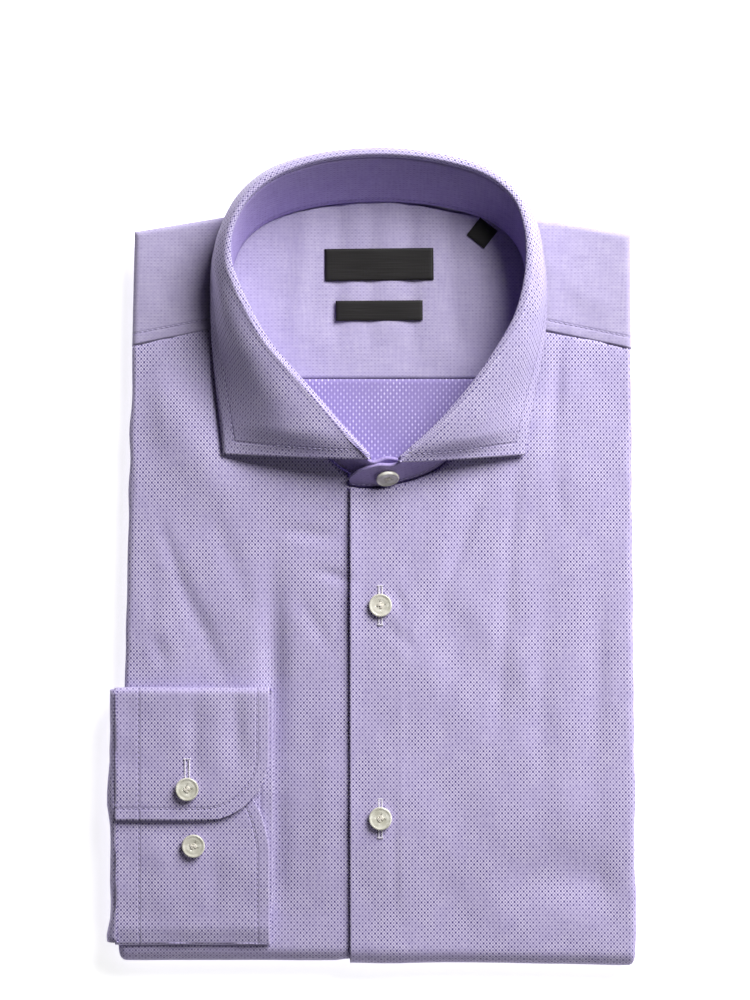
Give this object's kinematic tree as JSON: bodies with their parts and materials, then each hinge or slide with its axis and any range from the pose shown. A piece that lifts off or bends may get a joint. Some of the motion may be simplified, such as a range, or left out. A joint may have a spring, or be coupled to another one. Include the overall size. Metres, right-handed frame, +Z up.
{
  "type": "long sleeve dress shirt",
  "caption": "Folded long sleeve dress shirt in lavender dotted cotton, spread collar standing open, fastened placket, one buttoned cuff laid on the front.",
  "frame": {"origin": "on the surface that the folded shirt lies on, under the middle of its outline", "axes": "+Z up from the surface, +Y towards the back of the collar, +X to the right of a viewer who looks down at the front"},
  "size_m": [0.2384, 0.3664, 0.0407],
  "materials": {
    "cloth": "matt woven cotton with a fine dotted weave",
    "cloth_reverse": "the reverse of the same weave, darker with pale dots",
    "button": "pearly, glossy",
    "label": "black woven satin"
  },
  "bodies": {
    "root": {"front_left": "cloth", "front_right": "cloth", "yoke": "cloth", "yoke_lining": "cloth", "back": "cloth_reverse", "hidden_layers": "cloth", "collar_stand": "cloth", "collar_leaf": "cloth", "sleeve_right": "cloth", "cuff_right": "cloth", "front_button_1": "button", "front_button_2": "button", "cuff_button_1": "button", "cuff_button_2": "button", "collar_button": "button", "label_main": "label", "label_fit": "label", "size_tab": "label"}
  },
  "joints": []
}
